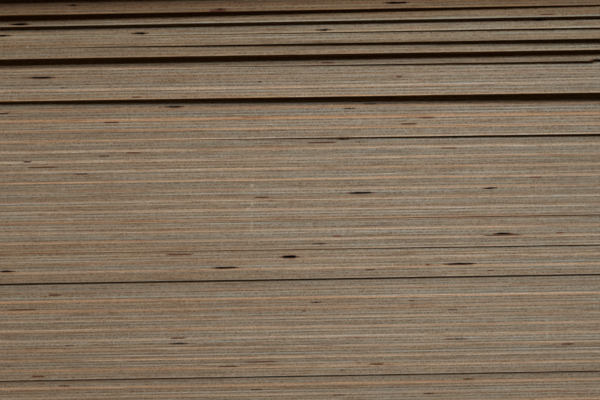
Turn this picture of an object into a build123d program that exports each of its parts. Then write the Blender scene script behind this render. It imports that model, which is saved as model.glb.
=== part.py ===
from build123d import *
import os
import random

# A free-standing stack of plywood sheets, in millimetres. +Z is up, X runs along the sheets' long
# edges, and the side seen first is the front, at -Y. The origin is the middle of the underside.

# The board: seven crossed veneers of one thickness, pressed together and sawn square
sheet_length = 2440.0
sheet_width = 1220.0
sheet_thickness = 9.0
veneer_count = 7
veneer_thickness = sheet_thickness / veneer_count

# The stack, counted from the floor up
sheet_count = 46

# Sheets that slid or were laid askew: how far each one steps out over the sheet below it (or back
# from it, if below zero) at the middle of the front edge, how far it slips along that edge, and
# how many degrees it is turned clockwise, seen from above. Everything above it goes with it.
slides = {
    7: (4.4, 4.0, 0.0),
    17: (4.8, -3.0, -0.1),
    20: (1.9, 1.5, 0.23),
    23: (0.8, -2.0, 0.22),
    31: (2.3, 5.0, 0.83),
    35: (11.6, -9.0, 1.0),
    38: (1.7, 3.0, 0.74),
    39: (12.5, 7.0, -0.48),
    40: (3.5, -4.0, 0.96),
    41: (1.5, 2.0, 0.43),
    42: (6.6, -6.0, -0.15),
    43: (7.1, 5.0, -0.95),
    44: (-1.5, 3.0, 0.0),
    45: (19.0, -4.0, -0.4),
}

# The other sheets lie flush within the tolerance that they are sawn and piled to
flush_step = 0.25
flush_slip = 1.5

# Gaps in the core, where two strips of one veneer don't meet. At the edge each is a slot one
# veneer high, and it closes inward as the strips come together.
gap_spacing = 430.0
gap_scatter = 0.38
gap_width_least = 3.0
gap_width_most = 22.0
gap_depth_least = 35.0
gap_depth_most = 90.0
gap_closing = 0.35
gap_lean = 0.5
corner_margin = 60.0

# Chips torn from the face veneers along the sawn edges
chip_spacing = 1150.0
chip_scatter = 0.4
chip_length_least = 4.0
chip_length_most = 16.0
chip_depth = 3.0
chip_closing = 0.6

# How far a cut starts outside the edge that it opens
cut_lead = 1.0

# The gaps and chips at the middle of the front edges: sheet, veneer counted from the sheet's
# underside, distance from mid-length and width at the edge
middle_half_length = 275.0
middle_gaps = [
    (4, 6, 30.0, 5.0),
    (4, 6, 112.0, 5.0),
    (5, 4, -39.0, 5.0),
    (6, 2, -215.0, 4.0),
    (6, 2, 153.0, 4.0),
    (9, 6, 234.0, 6.0),
    (10, 4, -211.0, 3.0),
    (10, 4, -112.0, 13.0),
    (10, 4, 141.0, 9.0),
    (13, 4, 131.0, 4.0),
    (14, 4, 7.0, 5.0),
    (18, 2, -265.0, 11.0),
    (18, 2, -70.0, 20.0),
    (18, 2, 140.0, 25.0),
    (19, 2, -14.0, 13.0),
    (20, 4, 17.0, 7.0),
    (21, 2, 180.0, 13.0),
    (25, 2, -31.0, 4.0),
    (25, 4, 57.0, 20.0),
    (25, 6, 171.0, 8.0),
    (29, 4, -175.0, 4.0),
    (30, 6, 42.0, 4.0),
    (33, 6, -267.0, 5.0),
    (33, 6, 38.0, 4.0),
    (34, 2, -117.0, 12.0),
    (34, 2, 54.0, 5.0),
    (37, 2, -219.0, 19.0),
    (41, 2, -255.0, 8.0),
    (41, 2, -137.0, 10.0),
    (41, 2, 19.0, 8.0),
    (41, 6, 198.0, 7.0),
    (42, 2, -234.0, 14.0),
    (43, 2, -69.0, 5.0),
    (43, 4, 77.0, 18.0),
    (43, 6, -192.0, 6.0),
]
middle_chips = [(38, 1, 259.0, 20.0)]

# The veneers whose grain runs across the sheet open their gaps on the long edges, and the inner
# ones whose grain runs along it open theirs on the ends
cross_veneers = range(2, veneer_count, 2)
long_veneers = range(3, veneer_count, 2)
face_veneers = (1, veneer_count)

# Each edge of a sheet as a place where X runs along the edge and Y points into the sheet
edges = {
    "front": (Pos(0, -sheet_width / 2, 0), sheet_length, cross_veneers),
    "back": (Pos(0, sheet_width / 2, 0) * Rot(0, 0, 180), sheet_length, cross_veneers),
    "right": (Pos(sheet_length / 2, 0, 0) * Rot(0, 0, 90), sheet_width, long_veneers),
    "left": (Pos(-sheet_length / 2, 0, 0) * Rot(0, 0, -90), sheet_width, long_veneers),
}


def cut_veneer(edge, veneer, along, width, depth, closing, lean=0.0):
    """The missing piece of one veneer: as wide as width at the edge, and closing times that at
    its depth, where it has leaned sideways."""
    inner = width * closing
    outline = Polygon(
        (along - width / 2, -cut_lead),
        (along + width / 2, -cut_lead),
        (along + lean + inner / 2, depth),
        (along + lean - inner / 2, depth),
        align=None,
    )
    floor_level = (veneer - 1) * veneer_thickness
    return edge * Pos(0, 0, floor_level) * extrude(outline, amount=veneer_thickness)


def stations(length, spacing):
    """Evenly spaced places along an edge, counted from its middle, clear of its corners."""
    count = int((length - 2 * corner_margin) / spacing)
    return [(place - (count - 1) / 2) * spacing for place in range(count)]


def scattered_gaps(number, side):
    """The core gaps of one edge, spread by a draw that belongs to this sheet alone."""
    edge, length, veneers = edges[side]
    draw = random.Random(f"gap {number} {side}")
    cuts = []
    for station in stations(length, gap_spacing):
        along = station + draw.uniform(-gap_scatter, gap_scatter) * gap_spacing
        width = draw.uniform(gap_width_least, gap_width_most)
        depth = draw.uniform(gap_depth_least, gap_depth_most)
        lean = draw.uniform(-gap_lean, gap_lean) * width
        veneer = draw.choice(veneers)
        if side == "front" and abs(along) < middle_half_length:
            continue
        cuts.append(cut_veneer(edge, veneer, along, width, depth, gap_closing, lean))
    return cuts


def scattered_chips(number, side):
    """The chips of one edge, in the top or bottom veneer."""
    edge, length, _ = edges[side]
    draw = random.Random(f"chip {number} {side}")
    cuts = []
    for station in stations(length, chip_spacing):
        along = station + draw.uniform(-chip_scatter, chip_scatter) * chip_spacing
        width = draw.uniform(chip_length_least, chip_length_most)
        veneer = draw.choice(face_veneers)
        if side == "front" and abs(along) < middle_half_length:
            continue
        cuts.append(cut_veneer(edge, veneer, along, width, chip_depth, chip_closing))
    return cuts


def middle_cuts(number):
    """The gaps and chips at the middle of this sheet's front edge."""
    edge = edges["front"][0]
    gap_depth = (gap_depth_least + gap_depth_most) / 2
    cuts = []
    for sheet, veneer, along, width in middle_gaps:
        if sheet == number and veneer < veneer_count:
            cuts.append(cut_veneer(edge, veneer, along, width, gap_depth, gap_closing))
    for sheet, veneer, along, width in middle_chips:
        if sheet == number:
            cuts.append(cut_veneer(edge, veneer, along, width, chip_depth, chip_closing))
    return cuts


def plywood_sheet(number):
    """One board, centred on the origin with its underside at zero."""
    board = Box(
        sheet_length,
        sheet_width,
        sheet_thickness,
        align=(Align.CENTER, Align.CENTER, Align.MIN),
    )
    cuts = middle_cuts(number)
    for side in edges:
        cuts += scattered_gaps(number, side)
        cuts += scattered_chips(number, side)
    return board - cuts


def resting_places():
    """Where each sheet lies: its step forward, its slip along the stack and its turn, added up
    from the floor. A turn is about the middle of the front edge."""
    step, slip, turn = 0.0, 0.0, 0.0
    places = []
    for number in range(1, sheet_count + 1):
        if number in slides:
            forward, along, twist = slides[number]
            step += forward
            slip += along
            turn += twist
        flush = (number % 3 - 1) * flush_step if number > 1 else 0.0
        drift = (number % 5 - 2) * flush_slip if number > 1 else 0.0
        front = Pos(slip + drift, -sheet_width / 2 - step - flush, (number - 1) * sheet_thickness)
        places.append(front * Rot(0, 0, -turn) * Pos(0, sheet_width / 2, 0))
    return places


os.makedirs("parts", exist_ok=True)
for number, place in enumerate(resting_places(), start=1):
    sheet = place * plywood_sheet(number)
    export_step(sheet, f"parts/sheet_{number:02d}.step")
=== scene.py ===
from collections import namedtuple
from math import ceil, cos, pi, radians, sin

import bpy
import numpy as np
from mathutils import Matrix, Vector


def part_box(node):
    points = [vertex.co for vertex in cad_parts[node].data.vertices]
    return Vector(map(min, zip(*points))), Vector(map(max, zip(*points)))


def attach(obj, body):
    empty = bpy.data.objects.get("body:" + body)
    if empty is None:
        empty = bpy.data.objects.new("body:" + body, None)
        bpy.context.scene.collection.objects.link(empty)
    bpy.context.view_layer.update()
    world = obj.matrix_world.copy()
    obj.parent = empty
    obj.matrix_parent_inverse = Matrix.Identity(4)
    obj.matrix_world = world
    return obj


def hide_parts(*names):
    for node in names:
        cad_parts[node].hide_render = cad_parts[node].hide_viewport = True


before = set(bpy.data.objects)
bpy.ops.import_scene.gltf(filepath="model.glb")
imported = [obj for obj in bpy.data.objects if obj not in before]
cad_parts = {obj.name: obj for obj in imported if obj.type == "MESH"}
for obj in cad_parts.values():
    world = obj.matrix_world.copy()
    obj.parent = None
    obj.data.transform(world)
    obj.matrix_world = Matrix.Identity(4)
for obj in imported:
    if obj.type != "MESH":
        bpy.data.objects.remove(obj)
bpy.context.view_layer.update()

# The sheets: each is one board of seven veneers, laid crosswise, glued hot and sawn square. Its
# long edges show the long-grain veneers smooth and the crossbands as dark end grain; on its short
# ends the two change places. Sawing leaves the soft end grain a little lower and the arris worn.
veneers = 7
tolerance = 0.00005


def joined(values):
    """Sorted values, with those that differ by less than the tolerance taken as one."""
    values = np.sort(values)
    if len(values) == 0:
        return values
    return values[np.concatenate([[True], np.diff(values) > tolerance])]


def outline_of(node):
    """A solid's points, and its four plan corners from front left round to back left: the points
    that lie furthest along x + y and x - y."""
    points = np.empty(len(node.data.vertices) * 3, np.float32)
    node.data.vertices.foreach_get("co", points)
    points = points.reshape(-1, 3).astype(float)
    rising, falling = points[:, 0] + points[:, 1], points[:, 0] - points[:, 1]
    picks = [rising.argmin(), falling.argmax(), rising.argmax(), falling.argmin()]
    return points, points[picks, :2]


# A glue line reaches this share of a veneer's height to each side. A cut is looked for clear of
# the corners, between a least and a greatest depth, and its floor is what lies near its deepest.
line_reach = 0.02
corner_clearance = 0.001
least_depth, greatest_depth = 0.0005, 0.2
floor_share = 0.9

Cut = namedtuple("Cut", "veneer left right floor inner_left inner_right")


def cuts_along(points, start, way, inward, length, thickness):
    """The gaps and chips that open on one side of a solid. A cut's mouth has its two upright
    edges at the same places on both faces of one veneer; its floor is the deepest point behind."""
    offset = points[:, :2] - start
    along, depth = offset @ way, offset @ inward
    level = (points[:, 2] - points[:, 2].min()) / thickness * veneers
    inside = (along > corner_clearance) & (along < length - corner_clearance)
    at_edge = inside & (abs(depth) < tolerance)
    behind = inside & (depth > least_depth) & (depth < greatest_depth)
    cuts = []
    for veneer in range(veneers):
        low = joined(along[at_edge & (abs(level - veneer) < line_reach)])
        high = joined(along[at_edge & (abs(level - veneer - 1) < line_reach)])
        if len(low) == 0 or len(high) == 0:
            continue
        mouth = low[abs(low[:, None] - high[None]).min(axis=1) < tolerance]
        here = behind & (level > veneer - line_reach) & (level < veneer + 1 + line_reach)
        for left, right in zip(mouth[::2], mouth[1::2]):
            width = right - left
            own = here & (along > left - width) & (along < right + width)
            if own.any():
                floor = depth[own].max()
                ends = along[own & (depth > floor_share * floor)]
                cuts.append(Cut(veneer, left, right, floor, ends.min(), ends.max()))
    return cuts


# Bark pockets and resin streaks that show on the middle of the front edges: sheet, veneer,
# distance from mid-length and length, in millimetres. Elsewhere they are scattered, in metres.
front_streaks = [
    (7, 3, -243, 14), (7, 4, 32, 3), (8, 4, -42, 33), (8, 1, -73, 21), (8, 1, 62, 14),
    (8, 4, -271, 3), (10, 4, 134, 12), (11, 1, -114, 16), (13, 5, -3, 4), (14, 2, -258, 29),
    (14, 4, 93, 5), (15, 5, -222, 13), (17, 6, 61, 10), (17, 4, 169, 7), (18, 2, 111, 4),
    (19, 5, -112, 28), (21, 1, 180, 38), (21, 2, 32, 9), (21, 2, 230, 7), (25, 2, -31, 14),
    (26, 6, 210, 12), (27, 6, -193, 14), (28, 4, -228, 30), (29, 1, -243, 8), (29, 6, -149, 15),
    (29, 6, 129, 17), (30, 4, 22, 29), (30, 4, 56, 2), (32, 6, -170, 16), (32, 6, 107, 15),
    (32, 2, 91, 16), (35, 2, -134, 9), (36, 2, -200, 4), (36, 4, -28, 4), (36, 6, 92, 6),
    (38, 2, 25, 13), (42, 2, 208, 14), (43, 1, -71, 16),
]
front_middle_half = 0.28
streak_spacing = 0.62
streak_scatter = (0.1, 0.9)
streak_length = (0.004, 0.030)


def streaks_along(number, side, length, draw):
    """The streaks of one side: those seen in the middle of the front, and elsewhere one at a
    random place in each stretch of edge."""
    found = []
    if side == 0:
        for sheet, veneer, middle, size in front_streaks:
            if sheet == number:
                found.append((veneer - 1, length / 2 + middle / 1000, size / 1000))
    for stretch in range(int(length / streak_spacing)):
        middle = (stretch + draw.uniform(*streak_scatter)) * streak_spacing
        veneer, size = int(draw.integers(0, veneers)), draw.uniform(*streak_length)
        if side != 0 or abs(middle - length / 2) > front_middle_half:
            found.append((veneer, middle, size))
    return found


column_pitch = 0.0165
column_clearance = column_pitch / 8


def columns_of(length, marks):
    """Evenly spaced columns from corner to corner, with those that a mark comes near left out,
    and the marks themselves."""
    count = 4 * ceil(length / column_pitch / 4)
    even = np.linspace(0, length, count, endpoint=False)
    marks = joined(np.array(marks))
    clear = abs(even[:, None] - marks[None]).min(axis=1) > column_clearance
    clear[0] = True
    return np.sort(np.concatenate([even[clear], marks]))


# A board's upright corners are worn round. A gap's ends are stained by bark for a short way, and
# its edge is a hair's breadth wide.
corner_wear = (0.0006, 0.0028)
corner_bend = 0.3
bark_reach = 0.0035
edge_hair = 0.00004
gap_parts = (0.12, 0.3, 0.5, 0.7, 0.88)
streak_parts = (-0.5, -0.25, 0.25, 0.5)

Side = namedtuple("Side", "start way inward length place cuts streaks wear")


def side_of(number, side, points, corners, thickness, draw):
    """One side of a board as a line in plan from corner to corner, with its cuts, its streaks and
    the wear of its two corners, and a column at each place where one of these begins or bends."""
    start, stop = corners[side], corners[(side + 1) % 4]
    length = float(np.linalg.norm(stop - start))
    way = (stop - start) / length
    inward = np.array([-way[1], way[0]])
    cuts = cuts_along(points, start, way, inward, length, thickness)
    streaks = streaks_along(number, side, length, draw)
    wear = draw.uniform(*corner_wear, 2)
    marks = [corner_bend * wear[0], wear[0], length - wear[1], length - corner_bend * wear[1]]
    for cut in cuts:
        marks += [cut.left - edge_hair, cut.left + edge_hair]
        marks += [cut.right - edge_hair, cut.right + edge_hair]
        marks += [cut.left + part * (cut.right - cut.left) for part in gap_parts]
        marks += [cut.left - bark_reach, cut.right + bark_reach]
    for _, middle, size in streaks:
        marks += [middle + part * size for part in streak_parts]
    place = columns_of(length, [mark for mark in marks if 0 < mark < length])
    return Side(start, way, inward, length, place, cuts, streaks, wear)


def wander(place, draw, step, reach):
    """A smooth irregular line: random heights within reach at every step, joined by half cosine
    waves."""
    knots = draw.uniform(-reach, reach, int(place.max() / step) + 3)
    low = (place / step).astype(int)
    part = 0.5 - 0.5 * np.cos(pi * (place / step - low))
    return knots[low] * (1 - part) + knots[low + 1] * part


# The wear of the sawn edge: how deep, and over what length each unevenness wanders. Long grain
# lies in by the first share of the end grain's drop, and end grain by both. The arc of a worn
# corner is this share of its radius deep at its middle.
arris_wear = 0.00012
arris_wave, arris_unevenness = 0.03, 0.7
end_grain_drop = 0.00009
long_grain_share, end_grain_share = 0.4, 0.55
fibre_wave, fibre_unevenness = 0.05, 0.35
saw_wander = 0.00010
veneer_wave, veneer_share = 0.4, 0.25
saw_wave = 0.9
corner_cut = 0.293


def worn_side(side, plan, row_veneer, draw):
    """How far inside its sawn line each point of a side lies: the wander of the saw and of each
    veneer, the drop of the end grain, the worn arris above and below, and at each corner a circle's
    arc up to its middle: the radius, less the root of its square less that of the way into it."""
    place = plan.place
    dig = np.zeros((len(row_veneer), len(place)))
    for veneer in range(veneers):
        end_grain = (veneer % 2 == 1) != (side % 2 == 1)
        line = wander(place, draw, fibre_wave, fibre_unevenness * end_grain_drop)
        line += long_grain_share * end_grain_drop
        line += wander(place, draw, veneer_wave, veneer_share * saw_wander)
        dig[row_veneer == veneer] += line + (end_grain_share * end_grain_drop if end_grain else 0.0)
    dig += wander(place, draw, saw_wave, saw_wander) + saw_wander
    chafe = arris_wear * (1 + wander(place, draw, arris_wave, arris_unevenness))
    dig[0] += chafe
    dig[-1] += chafe
    for near, radius in ((place, plan.wear[0]), (plan.length - place, plan.wear[1])):
        reach = np.clip(radius - near, 0, radius)
        rounding = radius - np.sqrt(np.maximum(radius**2 - reach**2, 0))
        dig += np.minimum(rounding, corner_cut * radius)
    return dig


# A gap between two veneers is a lens: the pressed veneers bulge away at its middle and pinch it
# at its ends. Heights are in veneers. Small gaps gape less, and those of a few sheets more or less.
gap_swell = 0.44
gap_pinch = 0.30
gap_wide = 0.012
gaping = {10: 0.75, 19: 1.8, 34: 0.75, 37: 0.8}
torn = 0.15
floor_unevenness = 0.06
gap_rust = 0.3


def open_gaps(number, plan, row_veneer, dig, draw):
    """Carries the rows of a cut's veneer in to its floor, with its columns spread from one end of
    the floor to the other, and opens it by one less the fourth power of the distance from its
    middle. Gives the depth, the slide along the side, the lift in veneers, and what is hollow and
    what is stained."""
    slide, lift, pit, red = (np.zeros_like(dig) for _ in range(4))
    place = plan.place
    for cut in plan.cuts:
        width = cut.right - cut.left
        within = (place > cut.left) & (place < cut.right)
        cell = np.outer(row_veneer == cut.veneer, within)
        part = np.clip((place - cut.left) / width, 0, 1)
        floor = cut.floor * (1 - floor_unevenness * draw.random(len(place)))
        inner = cut.inner_left + part * (cut.inner_right - cut.inner_left)
        dig = np.where(cell, floor, dig)
        slide = np.where(cell, inner - place, slide)
        pit = np.where(cell, 1.0, pit)
        if 0 < cut.veneer < veneers - 1:
            share = gaping.get(number, 1.0) * min(1.0, width / gap_wide)
            swell = share * gap_swell * (1 - (2 * part - 1) ** 4) - gap_pinch
            ragged = within * (swell + draw.uniform(-torn, torn, (2, len(place))))
            below, above = 2 * cut.veneer, 2 * cut.veneer + 2
            lift[below: below + 2] -= ragged[0]
            lift[above: above + 2] += ragged[1]
            beside = [below, above + 1]
            red[beside] = np.maximum(red[beside], share * gap_rust * within)
        outside = np.maximum(cut.left - place, place - cut.right)
        bark = np.clip(1 - outside / bark_reach, 0, 1)
        red = np.maximum(red, np.outer(row_veneer == cut.veneer, bark))
    for veneer, middle, size in plan.streaks:
        fade = np.clip(1 - abs(place - middle) / (size / 2), 0, 1)
        red = np.maximum(red, np.outer(row_veneer == veneer, np.sqrt(fade)))
    return dig, slide, lift, pit, red


def closed_grid(name, vertices, row_count, columns):
    """A mesh of rows of points that each go once round: a four-sided face between each two rows
    and columns, one lid on the last row and one on the first. The lids have the second material."""
    row, column = np.divmod(np.arange((row_count - 1) * columns), columns)
    after = (column + 1) % columns
    quads = np.stack([row * columns + column, row * columns + after,
                      (row + 1) * columns + after, (row + 1) * columns + column], axis=-1)
    top_lid = (row_count - 1) * columns + np.arange(columns)
    under_lid = np.arange(columns)[::-1]
    loops = np.concatenate([quads.ravel(), top_lid, under_lid]).astype(np.int32)
    totals = np.concatenate([np.full(len(quads), 4), [columns, columns]]).astype(np.int32)
    starts = np.concatenate([[0], np.cumsum(totals)[:-1]]).astype(np.int32)
    slots = np.concatenate([np.zeros(len(quads)), [1, 1]]).astype(np.int32)
    mesh = bpy.data.meshes.new(name)
    mesh.vertices.add(len(vertices))
    mesh.loops.add(len(loops))
    mesh.polygons.add(len(totals))
    mesh.vertices.foreach_set("co", vertices.astype(np.float32).ravel())
    mesh.loops.foreach_set("vertex_index", loops)
    mesh.polygons.foreach_set("loop_start", starts)
    mesh.polygons.foreach_set("loop_total", totals)
    mesh.polygons.foreach_set("material_index", slots)
    mesh.polygons.foreach_set("use_smooth", np.zeros(len(totals), bool))
    mesh.update(calc_edges=True)
    return mesh, loops


def sawn_places(sides, rows):
    """For the four corners of each face of the edge: the place along its side, the level in
    veneers and the side. A side's last face ends at the side's length, not at the next's zero."""
    here = np.concatenate([plan.place for plan in sides])
    owner = np.repeat(np.arange(len(sides)), [len(plan.place) for plan in sides])
    lengths = np.array([plan.length for plan in sides])
    there = np.where(np.roll(owner, -1) != owner, lengths[owner], np.roll(here, -1))
    low, high = np.repeat(rows[:-1], len(here)), np.repeat(rows[1:], len(here))
    here, there, owner = (np.tile(values, len(rows) - 1) for values in (here, there, owner))
    return np.stack([
        np.stack([here, there, there, here], axis=-1),
        np.stack([low, low, high, high], axis=-1),
        np.tile(owner[:, None], (1, 4)),
    ], axis=-1).astype(np.float32)


# Where each surface lies on the square that its colours are written to: how many strips each side
# takes, which is its first, how high they are, and how much of the rest the upper lid gets
strips = np.array([4, 2, 4, 2])
first_strip = np.array([0, 4, 6, 10])
strip_height = 1 / 32
strip_fill = 0.027
edge_share = 12 * strip_height
margin = 0.002
seen_lid, hidden_lid = 0.9, 0.5


def bake_places(sawn, sides, lids, is_top):
    """Flat places without overlap. The sawn edge lies in twelve strips, one above the other, each
    a quarter of a long side or half of a short one. The top face and the underside share the
    rest, and the top sheet's top face gets most of it."""
    owner = sawn[:, 0, 2].astype(int)
    span = np.array([plan.length for plan in sides])[owner] / strips[owner]
    middle = (sawn[:, 0, 0] + sawn[:, 1, 0]) / 2
    strip = np.minimum((middle / span).astype(int), strips[owner] - 1)
    u = np.clip((sawn[..., 0] - (strip * span)[:, None]) / span[:, None], 0, 1)
    u = margin + (1 - 2 * margin) * u
    v = (first_strip[owner] + strip)[:, None] * strip_height
    v = v + margin + strip_fill * (sawn[..., 1] / veneers)
    room = 1 - edge_share - 2 * margin
    share = seen_lid if is_top else hidden_lid
    top_v, under_v = np.split(lids[:, 1], 2)
    top_v = edge_share + margin + room * share * top_v
    under_v = edge_share + 2 * margin + room * (share + (1 - share) * under_v)
    lid_v = np.minimum(np.concatenate([top_v, under_v]), 1 - margin / 2)
    lids = np.stack([lids[:, 0], lid_v], axis=-1)
    return np.concatenate([np.stack([u, v], axis=-1).reshape(-1, 2), lids])


# The glue lines wander up and down: over what length, and how far in veneers
line_wave = 0.07
line_wander = 0.06


def board_mesh(number, node):
    """A board as one closed grid: the profile of its sawn edge, two rows to each veneer and one
    more at each arris, carried round its four sides, with a face veneer above and below. A point
    lies on the solid's side, moved inward by the wear there, and to a gap's floor where one
    opens."""
    draw = np.random.default_rng(number)
    points, corners = outline_of(node)
    bottom, top = points[:, 2].min(), points[:, 2].max()
    height = (top - bottom) / veneers
    worn = arris_wear / height
    lines = [line + reach for line in range(1, veneers) for reach in (-line_reach, line_reach)]
    rows = np.array([0.0, worn] + lines + [veneers - worn, float(veneers)])
    row_veneer = np.concatenate([[0], np.repeat(np.arange(veneers), 2), [veneers - 1]])

    sides = [side_of(number, side, points, corners, top - bottom, draw) for side in range(4)]
    grids = []
    for side, plan in enumerate(sides):
        dig = worn_side(side, plan, row_veneer, draw)
        grids.append(open_gaps(number, plan, row_veneer, dig, draw))
    depth, shift, lift, hollow, stain = (np.concatenate(part, axis=1) for part in zip(*grids))
    base = np.concatenate([plan.start + plan.place[:, None] * plan.way for plan in sides])
    way = np.concatenate([np.tile(plan.way, (len(plan.place), 1)) for plan in sides])
    inward = np.concatenate([np.tile(plan.inward, (len(plan.place), 1)) for plan in sides])
    corner_columns = np.cumsum([0] + [len(plan.place) for plan in sides[:-1]])
    inward[corner_columns] = [plan.inward + sides[side - 1].inward
                              for side, plan in enumerate(sides)]

    columns = len(base)
    level = np.tile(rows[:, None], (1, columns))
    for line in range(1, veneers):
        drift = wander(np.arange(columns) * column_pitch, draw, line_wave, line_wander)
        drift -= np.linspace(0, drift[-1] - drift[0], columns)
        level[2 * line: 2 * line + 2] += drift
    level += lift
    plan_points = base + inward * depth[..., None] + way * shift[..., None]
    vertices = np.dstack([plan_points, bottom + level * height]).reshape(-1, 3)
    mesh, loops = closed_grid(f"plywood_sheet_{number:02d}", vertices, len(rows), columns)

    sawn = sawn_places(sides, rows)
    no_edge = np.zeros((2 * columns, 3))
    corner_values = np.concatenate([sawn.reshape(-1, 3), no_edge]).astype(np.float32)
    mesh.attributes.new("sawn", "FLOAT_VECTOR", "CORNER").data.foreach_set(
        "vector", corner_values.ravel())
    lot = np.stack([np.full(depth.size, number), hollow.ravel(), stain.ravel()], axis=-1)
    mesh.attributes.new("lot", "FLOAT_VECTOR", "POINT").data.foreach_set(
        "vector", lot.astype(np.float32).ravel())
    lids = vertices[loops[-2 * columns:], :2] - vertices.min(axis=0)[:2]
    lids = lids / np.ptp(vertices, axis=0)[:2]
    flat = bake_places(sawn, sides, lids, number == len(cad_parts))
    mesh.uv_layers.new(name="OFBake").data.foreach_set("uv", flat.astype(np.float32).ravel())
    return mesh


def put(tree, kind, links=(), **settings):
    """A new node, its settings, and its inputs: a socket is linked, anything else is its value."""
    made = tree.nodes.new(kind)
    for key, value in settings.items():
        setattr(made, key, value)
    for key, value in dict(links).items():
        socket = made.inputs[key]
        if isinstance(value, bpy.types.NodeSocket):
            tree.links.new(value, socket)
        else:
            socket.default_value = value
    return made


def maths(tree, operation, *values, clamp=False):
    """One Math node's result."""
    return put(tree, "ShaderNodeMath", dict(enumerate(values)), operation=operation,
               use_clamp=clamp).outputs[0]


def blend(tree, factor, first, second, mode="MIX"):
    """Two colours mixed."""
    links = {"Factor": factor, 6: first, 7: second}
    return put(tree, "ShaderNodeMix", links, data_type="RGBA", blend_type=mode,
               clamp_factor=True).outputs[2]


def choose(tree, factor, first, second):
    """Two values mixed."""
    return put(tree, "ShaderNodeMix", {"Factor": factor, 2: first, 3: second}).outputs[0]


def spread(tree, value, low, high, out_low=0.0, out_high=1.0):
    """A value's range carried over to another, held at its ends."""
    links = {"Value": value, "From Min": low, "From Max": high, "To Min": out_low,
             "To Max": out_high}
    return put(tree, "ShaderNodeMapRange", links).outputs[0]


def combine(tree, x, y, z):
    """Three values as one vector."""
    return put(tree, "ShaderNodeCombineXYZ", {0: x, 1: y, 2: z}).outputs[0]


def parts_of(tree, vector):
    """A vector's three values."""
    return put(tree, "ShaderNodeSeparateXYZ", {0: vector}).outputs


def noise(tree, place, detail, roughness):
    """A noise texture's value and colour at a place, with one wave to the unit."""
    return put(tree, "ShaderNodeTexNoise", {"Vector": place, "Scale": 1.0, "Detail": detail,
                                            "Roughness": roughness}).outputs


def new_group(name, inputs, outputs):
    """A shader node group with named inputs and outputs."""
    tree = bpy.data.node_groups.new(name, "ShaderNodeTree")
    for label, kind in inputs:
        tree.interface.new_socket(label, in_out="INPUT", socket_type=kind)
    for label, kind in outputs:
        tree.interface.new_socket(label, in_out="OUTPUT", socket_type=kind)
    return tree, tree.nodes.new("NodeGroupInput").outputs, tree.nodes.new("NodeGroupOutput").inputs


def use(tree, group, **links):
    """A group in a material, with its inputs linked or set; gives its outputs."""
    return put(tree, "ShaderNodeGroup", links, node_tree=group).outputs


def new_material(name):
    """An empty node material and its tree."""
    material = bpy.data.materials.new(name)
    material.use_nodes = True
    material.node_tree.nodes.clear()
    return material, material.node_tree


# Wood fibre: noise drawn out along the grain. The figure is its broad tone, the fibres its fine
# one, and the warmth a drift from grey to brown that goes with neither.
value_kind, colour_kind = "NodeSocketFloat", "NodeSocketColor"
fibres_to_length, fibres_to_width = 9.0, 6.0
fibre_tree, given, result = new_group(
    "wood fibre",
    [(label, value_kind) for label in ("Along", "Across", "Seed", "Length", "Width")],
    [(label, value_kind) for label in ("Figure", "Fibres", "Warmth")],
)
far = maths(fibre_tree, "DIVIDE", given["Along"], given["Length"])
wide = maths(fibre_tree, "DIVIDE", given["Across"], given["Width"])
figure = noise(fibre_tree, combine(fibre_tree, far, wide, given["Seed"]), 4.0, 0.6)
far = maths(fibre_tree, "MULTIPLY", far, fibres_to_length)
wide = maths(fibre_tree, "MULTIPLY", wide, fibres_to_width)
fibres = noise(fibre_tree, combine(fibre_tree, far, wide, given["Seed"]), 4.0, 0.7)
drift = blend(fibre_tree, 0.4, figure["Color"], fibres["Color"])
drift = put(fibre_tree, "ShaderNodeSeparateColor", {0: drift}).outputs[2]
for value, name in ((figure[0], "Figure"), (fibres[0], "Fibres"), (drift, "Warmth")):
    fibre_tree.links.new(value, result[name])

# Wood tone: brightness as wood has it. Where it is darker it is browner, and where it is
# brighter it is greyer; warmth adds a grey or a brown cast of its own.
tone_powers = (0.74, 1.07, 1.38)
grey_cast, brown_cast = (0.78, 1.0, 1.21, 1), (1.22, 1.0, 0.79, 1)
tone_tree, given, result = new_group(
    "wood tone",
    [("Base", colour_kind), ("Bright", value_kind), ("Warmth", value_kind)],
    [("Colour", colour_kind)],
)
powers = [maths(tone_tree, "POWER", given["Bright"], power) for power in tone_powers]
tone = put(tone_tree, "ShaderNodeCombineColor", dict(enumerate(powers))).outputs[0]
cast = blend(tone_tree, given["Warmth"], grey_cast, brown_cast)
toned = blend(tone_tree, 1.0, given["Base"], tone, "MULTIPLY")
toned = blend(tone_tree, 1.0, toned, cast, "MULTIPLY")
tone_tree.links.new(toned, result["Colour"])

# The sawn edge reads each corner's place along its side, its level in veneers and its side, and
# each point's sheet, hollow and stain
edge_material, edge = new_material("sawn plywood edge")
sawn = parts_of(edge, put(edge, "ShaderNodeAttribute", attribute_name="sawn").outputs["Vector"])
lot = parts_of(edge, put(edge, "ShaderNodeAttribute", attribute_name="lot").outputs["Vector"])
spot = put(edge, "ShaderNodeTexCoord").outputs["Object"]
spot_x, _, spot_z = parts_of(edge, spot)
along, level, side = sawn
sheet, hollow, stain = lot
just_below_top = veneers - 0.001
level = maths(edge, "MINIMUM", level, just_below_top)
veneer = maths(edge, "FLOOR", level)
within = maths(edge, "SUBTRACT", level, veneer)
crossband = maths(edge, "MODULO", veneer, 2.0)
short_side = maths(edge, "MODULO", side, 2.0)
end_grain = maths(edge, "ABSOLUTE", maths(edge, "SUBTRACT", crossband, short_side))
off_centre = maths(edge, "ABSOLUTE", maths(edge, "SUBTRACT", level, veneers / 2))
outer = maths(edge, "GREATER_THAN", off_centre, veneers / 2 - 1)

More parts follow.
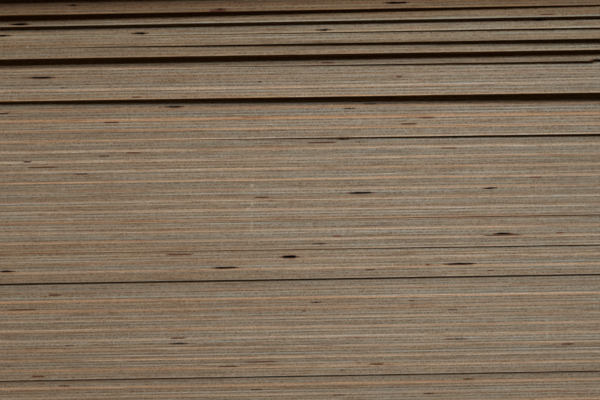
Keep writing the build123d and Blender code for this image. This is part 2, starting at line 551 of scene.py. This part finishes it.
# Each veneer's side has a number of its own, which gives it three random lots and its own grain.
# Lengths along the edge are in metres, and widths up it in veneers.
side_numbers, seed_spacing, fine_seed = 1000.0, 3.17, 9.3
broad_length, broad_width = 0.24, 1.6
fine_length, fine_width = 0.036, 0.8
own = maths(edge, "MULTIPLY_ADD", sheet, float(veneers), veneer)
own = maths(edge, "MULTIPLY_ADD", side, side_numbers, own)
lottery = put(edge, "ShaderNodeTexWhiteNoise", {"W": own}, noise_dimensions="1D")
lots = put(edge, "ShaderNodeSeparateColor", {0: lottery.outputs["Color"]}).outputs
seed = maths(edge, "MULTIPLY", own, seed_spacing)
broad = use(edge, fibre_tree, Along=along, Across=within, Seed=seed, Length=broad_length,
            Width=broad_width)
fine = use(edge, fibre_tree, Along=along, Across=within, Length=fine_length, Width=fine_width,
           Seed=maths(edge, "ADD", seed, fine_seed))

# Its wood: the inner veneers along and across the grain, and the redder face veneers, which show
# most at the top of a board and are dull on the uppermost boards
long_grain = (0.203, 0.161, 0.113, 1)
cross_grain = (0.184, 0.140, 0.094, 1)
face_grain = (0.292, 0.203, 0.132, 1)
face_end = (0.205, 0.144, 0.093, 1)
dull_face = (0.215, 0.158, 0.094, 1)
dull_from, dull_above, most_dull = 0.335, 0.350, 0.75
plain = blend(edge, end_grain, long_grain, cross_grain)
skin = blend(edge, end_grain, face_grain, face_end)
skin = blend(edge, spread(edge, spot_z, dull_from, dull_above, 0.0, most_dull), skin, dull_face)
near_underside = spread(edge, level, 0.1, 1.0, 1.0, 0.25)
near_top = spread(edge, level, veneers - 1.0, veneers - 0.55, 0.45, 1.0)
at_arris = maths(edge, "MAXIMUM", near_underside, near_top)
base = blend(edge, outer, plain, blend(edge, at_arris, plain, skin))

# Each veneer comes from another log, and its figure and fibres show: the source of an unevenness,
# its range, and how far it swings the brightness on long grain and on end grain. The fibre values
# hardly leave the range between faint and strong.
faint, strong = 0.25, 0.75
bright = 1.0
for value, low, high, on_long_grain, on_end_grain in (
    (lots[0], 0.0, 1.0, 0.19, 0.13),
    (broad["Figure"], faint, strong, 0.40, 0.12),
    (broad["Fibres"], faint, strong, 0.14, 0.14),
    (fine["Figure"], faint, strong, 0.16, 0.16),
    (fine["Fibres"], faint, strong, 0.38, 0.20),
):
    darkest = choose(edge, end_grain, 1 - on_long_grain, 1 - on_end_grain)
    palest = choose(edge, end_grain, 1 + on_long_grain, 1 + on_end_grain)
    bright = maths(edge, "MULTIPLY", bright, spread(edge, value, low, high, darkest, palest))

# Some veneers are greyer and some browner, the face veneers most, and all are a little greyer
# right of the middle, a painted tint of the cooler light that falls there. The two drifts add up to
# about one.
inner_cast, outer_cast = 0.13, 0.32
left_cast, right_cast, cast_reach = 0.04, -0.10, 0.3
greyest, brownest = 0.75, 1.25
warmth = maths(edge, "ADD", broad["Warmth"], fine["Warmth"])
warmth = spread(edge, warmth, greyest, brownest)
# painted tint of the cooler light right of the middle
painted_light_tint = spread(edge, spot_x, -cast_reach, cast_reach, left_cast, right_cast)
warmth = maths(edge, "ADD", warmth, painted_light_tint)
own_cast = choose(edge, outer, spread(edge, lots[1], 0, 1, -inner_cast, inner_cast),
                  spread(edge, lots[1], 0, 1, -outer_cast, outer_cast))
warmth = maths(edge, "ADD", warmth, own_cast)

# End grain is speckled with open pores, long grain less, and both less toward the glue lines: how
# many there are to a metre and to a veneer, the range of their noise, and the brightness at its
# two ends. The rim is the distance from a veneer's middle.
pores_along, pores_across = 740.0, 1.3
long_grain_pores = (0.3, 0.7, 0.60, 1.40)
end_grain_pores = (0.33, 0.62, 0.12, 1.36)
pores_at_rim = 0.35
pore_place = combine(edge, maths(edge, "MULTIPLY", along, pores_along),
                     maths(edge, "MULTIPLY", within, pores_across), seed)
pores = noise(edge, pore_place, 3.0, 0.7)[0]
speckle = choose(edge, end_grain, spread(edge, pores, *long_grain_pores),
                 spread(edge, pores, *end_grain_pores))
rim = maths(edge, "ABSOLUTE", maths(edge, "SUBTRACT", within, 0.5))
speckle = choose(edge, spread(edge, rim, 0.15, 0.5, 1.0, pores_at_rim), 1.0, speckle)
bright = maths(edge, "MULTIPLY", bright, speckle)

# Here and there a veneer is dark brown for a few fingers' breadth, or has a short dark fleck: old
# wood, the bark side, or glue that came through. Long grain takes it darkest.
patch_fade = 0.14
for per_metre, threshold, on_long_grain, on_end_grain in (
    (28.0, 0.54, 0.50, 0.64), (120.0, 0.62, 0.40, 0.50),
):
    patch_place = combine(edge, maths(edge, "MULTIPLY", along, per_metre), within,
                          maths(edge, "ADD", seed, per_metre))
    patch = noise(edge, patch_place, 3.0, 0.65)[0]
    patch = spread(edge, patch, threshold, threshold + patch_fade, 1.0,
                   choose(edge, end_grain, on_long_grain, on_end_grain))
    bright = maths(edge, "MULTIPLY", bright, patch)

# Painted shade: the lowest boards are darker, standing in for the light falling off toward the
# bottom, and the boards just below the big step are darker where its overhang shades them, then
# paler again above it. The boards are darker at the top too: two heights on the stack between
# which the brightness changes, and its factor below and above them.
painted_shade_height = 0.16
shade_and_yellow_from, shade_and_yellow_above = 0.325, 0.337
shade_end_from, shade_end_above = 0.350, 0.356
darker_top_from, yellow_and_dark_from, yellow_and_dark_above = 0.366, 0.352, 0.384
for low, high, below, above in (
    # painted shade: the light falling off toward the bottom
    (0.0, painted_shade_height, 0.90, 1.0),
    # painted shade below the big step
    (shade_and_yellow_from, shade_and_yellow_above, 1.0, 0.88),
    # the painted shade ends: paler again above it
    (shade_end_from, shade_end_above, 1.0, 1.15),
    # darker at the top
    (darker_top_from, yellow_and_dark_above, 1.0, 0.46),
):
    bright = maths(edge, "MULTIPLY", bright, spread(edge, spot_z, low, high, below, above))

# The top right is darker yet, from one place along the stack to another
darkening_left, darkening_right = 0.06, 0.26
darkening_above, darkening_factor = 0.380, 0.80
top_right_darkening = maths(edge, "MULTIPLY", spread(edge, spot_z, yellow_and_dark_from, darkening_above),
              spread(edge, spot_x, darkening_left, darkening_right))
bright = maths(edge, "MULTIPLY", bright, spread(edge, top_right_darkening, 0.0, 1.0, 1.0, darkening_factor))

# The boards that sun and rain reach have yellowed too, the uppermost least left of the middle
yellowed_wood = (0.214, 0.158, 0.091, 1)
faded_yellow, weathered_yellow = 0.25, 0.8
fresh_left, fresh_right, fresh_share = -0.3, 0.0, 0.2
yellowed = maths(edge, "MULTIPLY",
                 spread(edge, spot_z, yellow_and_dark_from, yellow_and_dark_above, 0.0, weathered_yellow),
                 spread(edge, spot_x, fresh_left, fresh_right, fresh_share, 1.0))
yellowed = maths(edge, "MAXIMUM", yellowed,
                 spread(edge, spot_z, shade_and_yellow_from, shade_and_yellow_above, 0.0, faded_yellow))
base = blend(edge, yellowed, base, yellowed_wood)
base = use(edge, tone_tree, Base=base, Bright=bright, Warmth=warmth)["Colour"]

# Glue lines, squeezed thin and dark between the veneers, stronger in some stretches
glue_brown = (0.070, 0.041, 0.022, 1)
glue_from, glue_full, most_glue = 0.41, 0.49, 0.75
inside_faces = maths(edge, "LESS_THAN", off_centre, veneers / 2 - 0.5)
glue = maths(edge, "MULTIPLY", spread(edge, rim, glue_from, glue_full), inside_faces)
glue = maths(edge, "MULTIPLY", glue, spread(edge, broad["Fibres"], 0.35, 0.65, 0.0, most_glue))
wood = blend(edge, glue, base, glue_brown)

# Old scuffs and dried splashes on the front, as ovals in millimetres: place along and up it,
# width, height and strength. Each fades between these parts of its half width.
scuff_pale = (0.40, 0.35, 0.27, 1)
scuff_core, scuff_rim = 0.4, 1.3
for x, z, width, height, strength in (
    (-40, 238, 2.4, 34, 0.12), (-42, 228.5, 2.4, 3.6, 0.42), (-42.6, 212, 2.8, 7.0, 0.32),
    (-45.5, 208, 4.6, 2.6, 0.32), (-43, 193, 2.6, 14, 0.24), (-208.8, 227.4, 4.0, 3.0, 0.25),
    (-204.5, 200.4, 6.0, 3.4, 0.30), (222.4, 96, 1.8, 34, 0.20), (-230.5, 352, 2.6, 2.0, 0.38),
):
    offset = put(edge, "ShaderNodeVectorMath", {0: spot, 1: (x / 1000, 0, z / 1000)},
                 operation="SUBTRACT").outputs[0]
    offset = put(edge, "ShaderNodeVectorMath", {0: offset, 1: (2000 / width, 0, 2000 / height)},
                 operation="MULTIPLY").outputs[0]
    far = put(edge, "ShaderNodeVectorMath", {0: offset}, operation="LENGTH").outputs["Value"]
    scuff = spread(edge, far, scuff_core, scuff_rim, strength, 0.0)
    scuff = maths(edge, "MULTIPLY", scuff, spread(edge, pores, 0.35, 0.6, 0.3, 1.3))
    scuff = maths(edge, "MULTIPLY", scuff, maths(edge, "LESS_THAN", side, 0.5))
    wood = blend(edge, scuff, wood, scuff_pale)

# Bark and resin streaks, each redder or browner and frayed along the fibres, and the rust-brown
# rim of the gaps and, deeper in, the painted shade that darkens them, which begin at these parts of
# the way in
bark_red, bark_brown = (0.086, 0.024, 0.009, 1), (0.040, 0.013, 0.005, 1)
gap_rim, gap_painted_shade = (0.080, 0.028, 0.012, 1), (0.010, 0.004, 0.002, 1)
rim_full, gap_shade_from, gap_shade_full = 0.006, 0.01, 0.07
frayed = spread(edge, fine["Fibres"], 0.3, 0.5, 0.9, 2.2)
mark = maths(edge, "MULTIPLY", stain, frayed, clamp=True)
wood = blend(edge, mark, wood, blend(edge, lots[2], bark_red, bark_brown))
wood = blend(edge, spread(edge, hollow, 0.0, rim_full), wood, gap_rim)
# painted shade deep inside the gaps
wood = blend(edge, spread(edge, hollow, gap_shade_from, gap_shade_full), wood, gap_painted_shade)

# The edge is dry and matt, roughened by the fibres and pores that the saw left
pore_share, fibre_height = 0.5, 0.00012
smoothest, roughest = 0.74, 0.9
relief = maths(edge, "MULTIPLY_ADD", speckle, pore_share, fine["Fibres"])
bump = put(edge, "ShaderNodeBump", {"Strength": 0.35, "Distance": fibre_height, "Height": relief})
shader = put(edge, "ShaderNodeBsdfPrincipled", {
    "Base Color": wood, "Normal": bump.outputs[0], "Specular IOR Level": 0.25,
    "Roughness": spread(edge, fine["Figure"], 0.2, 0.8, smoothest, roughest)})
put(edge, "ShaderNodeOutputMaterial", {"Surface": shader.outputs[0]})

# The face veneer: peeled from a turning log, so its figure runs in long flames along the sheet,
# which bend as the log's surface did
flame_dark, flame_pale = (0.270, 0.180, 0.112, 1), (0.370, 0.262, 0.172, 1)
flame_length, flame_width, flame_seed = 0.9, 0.05, 4.0
bend_along, bend_across, flame_bend = 1.3, 5.0, 0.45
face_material, face = new_material("peeled face veneer")
spot_x, spot_y, spot_z = parts_of(face, put(face, "ShaderNodeTexCoord").outputs["Object"])
bend_place = combine(face, maths(face, "MULTIPLY", spot_x, bend_along),
                     maths(face, "MULTIPLY", spot_y, bend_across), spot_z)
bend = noise(face, bend_place, 2.0, 0.5)[0]
across = maths(face, "MULTIPLY_ADD", bend, flame_bend, spot_y)
grain = use(face, fibre_tree, Along=spot_x, Across=across, Seed=flame_seed, Length=flame_length,
            Width=flame_width)
wood = blend(face, spread(face, grain["Figure"], 0.3, 0.7), flame_dark, flame_pale)
wood = use(face, tone_tree, Base=wood, Warmth=grain["Warmth"],
           Bright=spread(face, grain["Fibres"], 0.3, 0.7, 0.86, 1.12))["Colour"]
bump = put(face, "ShaderNodeBump", {"Strength": 0.3, "Distance": 0.0002, "Height": grain["Fibres"]})
shader = put(face, "ShaderNodeBsdfPrincipled", {
    "Base Color": wood, "Roughness": spread(face, grain["Fibres"], 0.2, 0.8, 0.78, 0.94),
    "Normal": bump.outputs[0], "Specular IOR Level": 0.12})
put(face, "ShaderNodeOutputMaterial", {"Surface": shader.outputs[0]})

for number, name in enumerate(sorted(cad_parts), start=1):
    mesh = board_mesh(number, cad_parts[name])
    mesh.materials.append(edge_material)
    mesh.materials.append(face_material)
    board = bpy.data.objects.new(mesh.name, mesh)
    bpy.context.scene.collection.objects.link(board)
    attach(board, "root")
    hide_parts(name)

# The floor: a plain pale disc that the lowest sheet lies on. Only the camera sees it pale: the
# light that it throws back up the stack is the little and warm light of a dark yard.
floor_reach, floor_sides = 30.0, 48
floor_seen, floor_thrown_back = (0.66, 0.66, 0.645, 1), (0.060, 0.034, 0.010, 1)
floor_mesh = bpy.data.meshes.new("floor")
ring = np.linspace(0, 2 * pi, floor_sides, endpoint=False)
ring = floor_reach * np.stack([np.cos(ring), np.sin(ring), np.zeros(floor_sides)], axis=-1)
floor_mesh.from_pydata(ring.tolist(), [], [list(range(floor_sides))])
floor = bpy.data.objects.new("floor", floor_mesh)
bpy.context.scene.collection.objects.link(floor)
floor_material, ground = new_material("plain pale floor")
seen = put(ground, "ShaderNodeLightPath").outputs["Is Camera Ray"]
pale = blend(ground, seen, floor_thrown_back, floor_seen)
matt = put(ground, "ShaderNodeBsdfDiffuse", {"Color": pale})
put(ground, "ShaderNodeOutputMaterial", {"Surface": matt.outputs[0]})
floor_mesh.materials.append(floor_material)

# The light: a large round soft lamp to each side of the stack, the front one higher than the
# others, a sky that is bright only overhead, and in front a cool feathered lamp right of the
# middle. The sky is white where the camera sees it.
front_height, front_power = radians(28.4), 2.72
side_height, side_power = radians(17), 2.4
lamp_spread = radians(19.0)
warm_white, cool_white = (1.04, 1.0, 0.94), (0.92, 1.0, 1.10)


def hang(light):
    """Puts a lamp in the scene, and gives its object."""
    lamp = bpy.data.objects.new(light.name, light)
    bpy.context.scene.collection.objects.link(lamp)
    return lamp


for azimuth in (0, 90, 180, 270):
    height, power = (side_height, side_power) if azimuth else (front_height, front_power)
    softbox = bpy.data.lights.new(f"softbox {azimuth}", "SUN")
    softbox.energy = power
    softbox.angle = lamp_spread
    softbox.color = warm_white
    hang(softbox).matrix_world = (Matrix.Rotation(radians(azimuth), 4, "Z")
                                  @ Matrix.Rotation(pi / 2 - height, 4, "X"))

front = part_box("sheet_01")[0][1]
throw, aim_x, aim_z = 3.0, 0.13, 0.24
feathered = bpy.data.lights.new("feathered lamp", "SPOT")
feathered.energy = 300.0
feathered.color = cool_white
feathered.shadow_soft_size = 0.36
feathered.spot_size = radians(17.5)
feathered.spot_blend = 1.0
back, rise = throw * cos(front_height), throw * sin(front_height)
hang(feathered).matrix_world = (
    Matrix.Translation((aim_x, front - back, aim_z + rise))
    @ Matrix.Rotation(pi / 2 - front_height, 4, "X"))

world = bpy.data.worlds.new("sky")
bpy.context.scene.world = world
world.use_nodes = True
sky = world.node_tree
sky.nodes.clear()
sky_white, sky_low = (1, 1, 1, 1), (1.0, 0.5, 0.15, 1)
sky_least, sky_most = 0.01, 0.60
up = parts_of(sky, put(sky, "ShaderNodeTexCoord").outputs["Generated"])[2]
lit = spread(sky, up, 0.35, 0.85, sky_least, sky_most)
rays = put(sky, "ShaderNodeLightPath").outputs
direct = maths(sky, "MAXIMUM", rays["Is Camera Ray"], rays["Is Transmission Ray"])
strength = choose(sky, direct, lit, 1.0)
warm = blend(sky, spread(sky, up, 0.2, 0.5), sky_low, sky_white)
tinge = blend(sky, direct, warm, sky_white)
glow = put(sky, "ShaderNodeBackground", {"Color": tinge, "Strength": strength})
put(sky, "ShaderNodeOutputWorld", {"Surface": glow.outputs[0]})
bpy.context.scene.view_settings.view_transform = "Standard"

# The camera: square to the long front edges, close to the stack, a little above the middle of
# its height and tipped down
image_width = 600
focal_pixels = 1100.0
distance = 0.980
camera_height = 0.3168
camera_side = -0.007
turn_right = radians(0.43)
tip_down = radians(6.0)
roll = radians(0.87)
lens = bpy.data.cameras.new("camera")
lens.sensor_width = 36.0
lens.lens = focal_pixels / image_width * lens.sensor_width
lens.clip_start = 0.01
camera = bpy.data.objects.new("camera", lens)
bpy.context.scene.collection.objects.link(camera)
camera.matrix_world = (
    Matrix.Translation((camera_side, front - distance, camera_height))
    @ Matrix.Rotation(-turn_right, 4, "Z")
    @ Matrix.Rotation(pi / 2 - tip_down, 4, "X")
    @ Matrix.Rotation(-roll, 4, "Z")
)
bpy.context.scene.camera = camera
